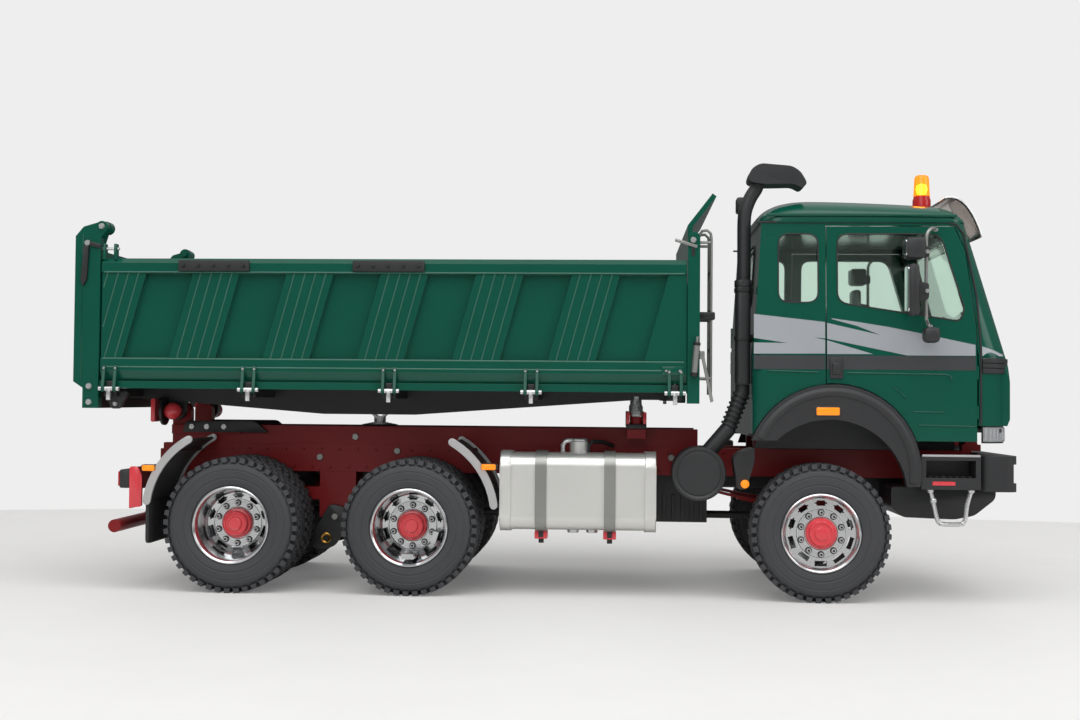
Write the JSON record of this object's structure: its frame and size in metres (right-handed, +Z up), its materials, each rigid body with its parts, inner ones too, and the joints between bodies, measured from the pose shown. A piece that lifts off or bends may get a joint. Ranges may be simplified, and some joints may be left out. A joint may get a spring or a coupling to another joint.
{
  "type": "scale model tipper truck",
  "caption": "Scale model of a forward-control tipper truck with twin rear wheels, a three-way load bed, fold-down side walls, swinging tailgate and tilting cab.",
  "frame": {"origin": "on the ground under the middle of the truck's box", "axes": "+X forward, +Y to the truck's left, +Z up"},
  "size_m": [0.579, 0.208, 0.2683],
  "materials": {
    "green_paint": "gloss enamel",
    "frame_red": "satin paint",
    "satin_black": "satin moulded",
    "black_metal": "satin paint",
    "alloy": "turned and polished",
    "steel": "bright",
    "tyre": "matt rubber",
    "glass": "tinted clear",
    "smoked": "smoked clear plastic",
    "lamp_amber": "clear amber lens",
    "lamp_clear": "clear lens",
    "interior": "dark moulded"
  },
  "bodies": {
    "chassis": {"frame_rails": "frame_red", "subframe": "frame_red", "front_axle": "black_metal", "rear_axles": "black_metal", "leaf_springs": "frame_red", "driveline": "black_metal", "fuel_tank": "alloy", "tank_straps": "steel", "battery_box": "satin_black", "air_filter": "satin_black", "bumper": "satin_black", "headlamps": "lamp_clear", "cab_steps": "satin_black", "step_rungs": "steel", "mudguards": "satin_black", "underrun_bar": "frame_red", "lamps": "lamp_amber"},
    "knuckle_right": {"knuckle_right": "black_metal"},
    "knuckle_left": {"knuckle_left": "black_metal"},
    "tie_rod": {"tie_rod": "steel"},
    "wheel_front_right": {"tyre_front_right": "tyre", "rim_front_right": "alloy"},
    "wheel_front_left": {"tyre_front_left": "tyre", "rim_front_left": "alloy"},
    "wheels_mid_right": {"tyres_mid_right": "tyre", "rims_mid_right": "alloy"},
    "wheels_mid_left": {"tyres_mid_left": "tyre", "rims_mid_left": "alloy"},
    "wheels_rear_right": {"tyres_rear_right": "tyre", "rims_rear_right": "alloy"},
    "wheels_rear_left": {"tyres_rear_left": "tyre", "rims_rear_left": "alloy"},
    "cylinder_barrel": {"cylinder_barrel": "black_metal"},
    "cylinder_stage_1": {"cylinder_stage_1": "steel"},
    "cylinder_stage_2": {"cylinder_stage_2": "steel"},
    "cylinder_stage_3": {"cylinder_stage_3": "steel"},
    "bed": {"bed_floor": "green_paint", "bed_underframe": "black_metal", "bed_bearers": "black_metal", "bed_ends": "green_paint", "ladder": "steel"},
    "side_wall_right": {"side_wall_right": "green_paint"},
    "side_wall_left": {"side_wall_left": "green_paint"},
    "tailgate": {"tailgate": "green_paint"},
    "cab": {"cab_shell": "green_paint", "cab_roof": "green_paint", "cab_front": "green_paint", "grille": "satin_black", "cab_interior": "interior", "cab_glass": "glass", "sun_visor": "smoked", "beacon": "lamp_amber", "cab_arches": "satin_black", "intake_stack": "satin_black"},
    "door_right": {"door_right": "green_paint", "door_glass_right": "glass", "mirror_right": "satin_black"},
    "door_left": {"door_left": "green_paint", "door_glass_left": "glass", "mirror_left": "satin_black"}
  },
  "joints": [
    {"name": "steer_right", "type": "hinge", "parent": "chassis", "child": "knuckle_right", "pos_m": [0.1725, -0.05, 0.042], "axis": [0, 0, 1], "range_deg": [-25, 25]},
    {"name": "steer_left", "type": "hinge", "parent": "chassis", "child": "knuckle_left", "pos_m": [0.1725, 0.05, 0.042], "axis": [0, 0, 1], "range_deg": [-26, 26]},
    {"name": "tie_rod_shift", "type": "slide", "parent": "chassis", "child": "tie_rod", "axis": [0, 1, 0], "range_m": [-0.007, 0.007]},
    {"name": "spin_front_right", "type": "hinge", "parent": "knuckle_right", "child": "wheel_front_right", "pos_m": [0.1725, -0.0715, 0.042], "axis": [0, 1, 0], "continuous": true},
    {"name": "spin_front_left", "type": "hinge", "parent": "knuckle_left", "child": "wheel_front_left", "pos_m": [0.1725, 0.0715, 0.042], "axis": [0, 1, 0], "continuous": true},
    {"name": "spin_mid_right", "type": "hinge", "parent": "chassis", "child": "wheels_mid_right", "pos_m": [-0.079, -0.05775, 0.042], "axis": [0, 1, 0], "continuous": true},
    {"name": "spin_mid_left", "type": "hinge", "parent": "chassis", "child": "wheels_mid_left", "pos_m": [-0.079, 0.05775, 0.042], "axis": [0, 1, 0], "continuous": true},
    {"name": "spin_rear_right", "type": "hinge", "parent": "chassis", "child": "wheels_rear_right", "pos_m": [-0.1905, -0.05775, 0.042], "axis": [0, 1, 0], "continuous": true},
    {"name": "spin_rear_left", "type": "hinge", "parent": "chassis", "child": "wheels_rear_left", "pos_m": [-0.1905, 0.05775, 0.042], "axis": [0, 1, 0], "continuous": true},
    {"name": "bed_tip", "type": "hinge", "parent": "chassis", "child": "bed", "pos_m": [-0.24, 0, 0.112], "axis": [0, -1, 0], "range_deg": [0, 50]},
    {"name": "cylinder_swing", "type": "hinge", "parent": "chassis", "child": "cylinder_barrel", "pos_m": [-0.112, 0, 0.088], "axis": [0, -1, 0], "range_deg": [0, 22]},
    {"name": "cylinder_extend_1", "type": "slide", "parent": "cylinder_barrel", "child": "cylinder_stage_1", "axis": [0, 0, 1], "range_m": [0, 0.0365]},
    {"name": "cylinder_extend_2", "type": "slide", "parent": "cylinder_stage_1", "child": "cylinder_stage_2", "axis": [0, 0, 1], "range_m": [0, 0.0365]},
    {"name": "cylinder_extend_3", "type": "slide", "parent": "cylinder_stage_2", "child": "cylinder_stage_3", "axis": [0, 0, 1], "range_m": [0, 0.0365]},
    {"name": "side_wall_right_fold", "type": "hinge", "parent": "bed", "child": "side_wall_right", "pos_m": [-0.091, -0.0899, 0.126], "axis": [1, 0, 0], "range_deg": [0, 165]},
    {"name": "side_wall_left_fold", "type": "hinge", "parent": "bed", "child": "side_wall_left", "pos_m": [-0.091, 0.0899, 0.126], "axis": [-1, 0, 0], "range_deg": [0, 165]},
    {"name": "tailgate_swing", "type": "hinge", "parent": "bed", "child": "tailgate", "pos_m": [-0.273, 0, 0.227], "axis": [0, 1, 0], "range_deg": [0, 60]},
    {"name": "cab_tilt", "type": "hinge", "parent": "chassis", "child": "cab", "pos_m": [0.276, 0, 0.095], "axis": [0, 1, 0], "range_deg": [0, 50]},
    {"name": "door_right_open", "type": "hinge", "parent": "cab", "child": "door_right", "pos_m": [0.265, -0.0855, 0.15], "axis": [0, 0, 1], "range_deg": [0, 70]},
    {"name": "door_left_open", "type": "hinge", "parent": "cab", "child": "door_left", "pos_m": [0.265, 0.0855, 0.15], "axis": [0, 0, -1], "range_deg": [0, 70]}
  ],
  "couplings": [
    {"joint": "steer_left", "follows": "steer_right", "ratio": 1},
    {"joint": "tie_rod_shift", "follows": "steer_right", "m_per_rad": -0.015},
    {"joint": "cylinder_swing", "follows": "bed_tip", "ratio": 0.4192},
    {"joint": "cylinder_extend_1", "follows": "bed_tip", "m_per_rad": 0.04052},
    {"joint": "cylinder_extend_2", "follows": "bed_tip", "m_per_rad": 0.04052},
    {"joint": "cylinder_extend_3", "follows": "bed_tip", "m_per_rad": 0.04052}
  ]
}
